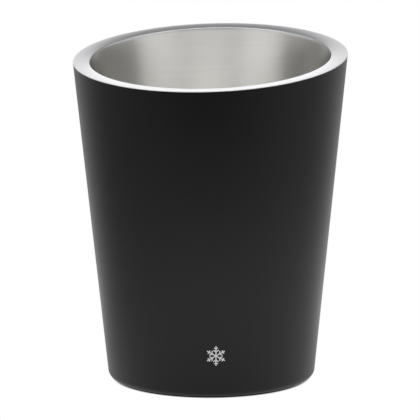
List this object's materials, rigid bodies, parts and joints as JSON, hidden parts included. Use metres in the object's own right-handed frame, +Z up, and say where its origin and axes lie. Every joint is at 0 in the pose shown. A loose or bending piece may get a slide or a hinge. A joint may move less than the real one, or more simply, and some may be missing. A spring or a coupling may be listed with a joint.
{
  "type": "champagne cooler bucket",
  "caption": "Round tapered double-walled champagne cooler with a slanted bright rim, matte black outside and brushed steel inside.",
  "frame": {"origin": "on the axis of the walls, at the level the foot ring stands on", "axes": "+Z up along the axis of the walls; +Y towards the high side of the slanted rim, so the low side faces -Y"},
  "size_m": [0.202, 0.2021, 0.2564],
  "materials": {
    "black_coat": "matte black powder coat on stainless steel",
    "brushed_liner": "stainless steel brushed round the axis",
    "bright_rim": "stainless steel, satin polished",
    "foot_rubber": "matte black silicone rubber",
    "mark_ink": "pale grey printed ink of the small snowflake mark, which is shown in the visual model only",
    "spacer_foam": "closed-cell polyethylene foam, hidden between the floors"
  },
  "bodies": {
    "root": {"outer_shell": "black_coat", "inner_liner": "brushed_liner", "rim_ring": "bright_rim", "base_plate": "black_coat", "foot_ring": "foot_rubber", "vent_plug": "foot_rubber", "floor_spacer": "spacer_foam"}
  },
  "joints": []
}
